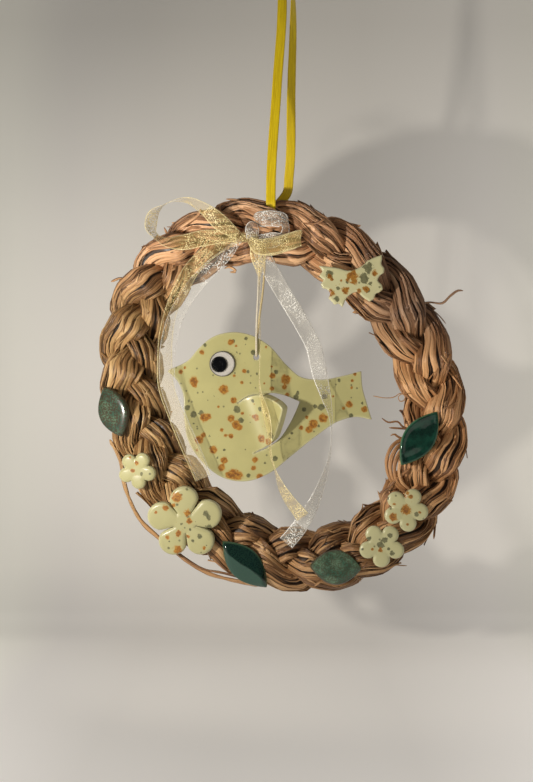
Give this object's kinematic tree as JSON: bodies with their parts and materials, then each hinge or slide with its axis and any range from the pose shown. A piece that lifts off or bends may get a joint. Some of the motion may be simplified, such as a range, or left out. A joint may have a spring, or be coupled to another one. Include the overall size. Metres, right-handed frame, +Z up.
{
  "type": "ceramic flower garland",
  "caption": "Hanging plaited grass wreath with glazed ceramic flowers, leaves, butterfly and bird, organza bow and satin ribbon loop",
  "frame": {"origin": "inside top of the hanging ribbon's loop, where it bears on a hook", "axes": "+Z up; the ring lies in the XZ plane and its decorated front faces -Y"},
  "size_m": [0.2304, 0.0422, 0.399],
  "materials": {
    "grass": "dry plaited grass, matt",
    "satin": "satin sheen",
    "gold_organza": "sheer",
    "white_organza": "sheer",
    "cream_glaze": "glossy, speckled orange and green",
    "pale_green_glaze": "glossy, speckled",
    "dark_green_glaze": "high gloss",
    "speckled_green_glaze": "satin gloss, speckled",
    "white_plastic": "glossy",
    "black_plastic": "glossy",
    "clear_plastic": "clear, glossy",
    "cord": "twisted thread"
  },
  "bodies": {
    "root": {"plait_strand_1": "grass", "plait_strand_2": "grass", "plait_strand_3": "grass", "hanging_ribbon": "satin", "bow_knot": "gold_organza", "bow_loop_left": "gold_organza", "bow_loop_upright": "white_organza", "bow_loop_right": "gold_organza", "bow_tail_left_gold": "gold_organza", "bow_tail_left_white": "white_organza", "bow_tail_middle_gold": "gold_organza", "bow_tail_right_white": "white_organza", "bird": "cream_glaze", "eye_backing": "white_plastic", "eye_pupil": "black_plastic", "eye_cover": "clear_plastic", "bird_cord": "cord", "flower_large": "pale_green_glaze", "flower_small_left": "pale_green_glaze", "flower_small_right_upper": "pale_green_glaze", "flower_small_right_lower": "pale_green_glaze", "leaf_glossy_right": "dark_green_glaze", "leaf_glossy_bottom": "dark_green_glaze", "leaf_speckled_left": "speckled_green_glaze", "leaf_speckled_right": "speckled_green_glaze", "butterfly": "pale_green_glaze"}
  },
  "joints": []
}
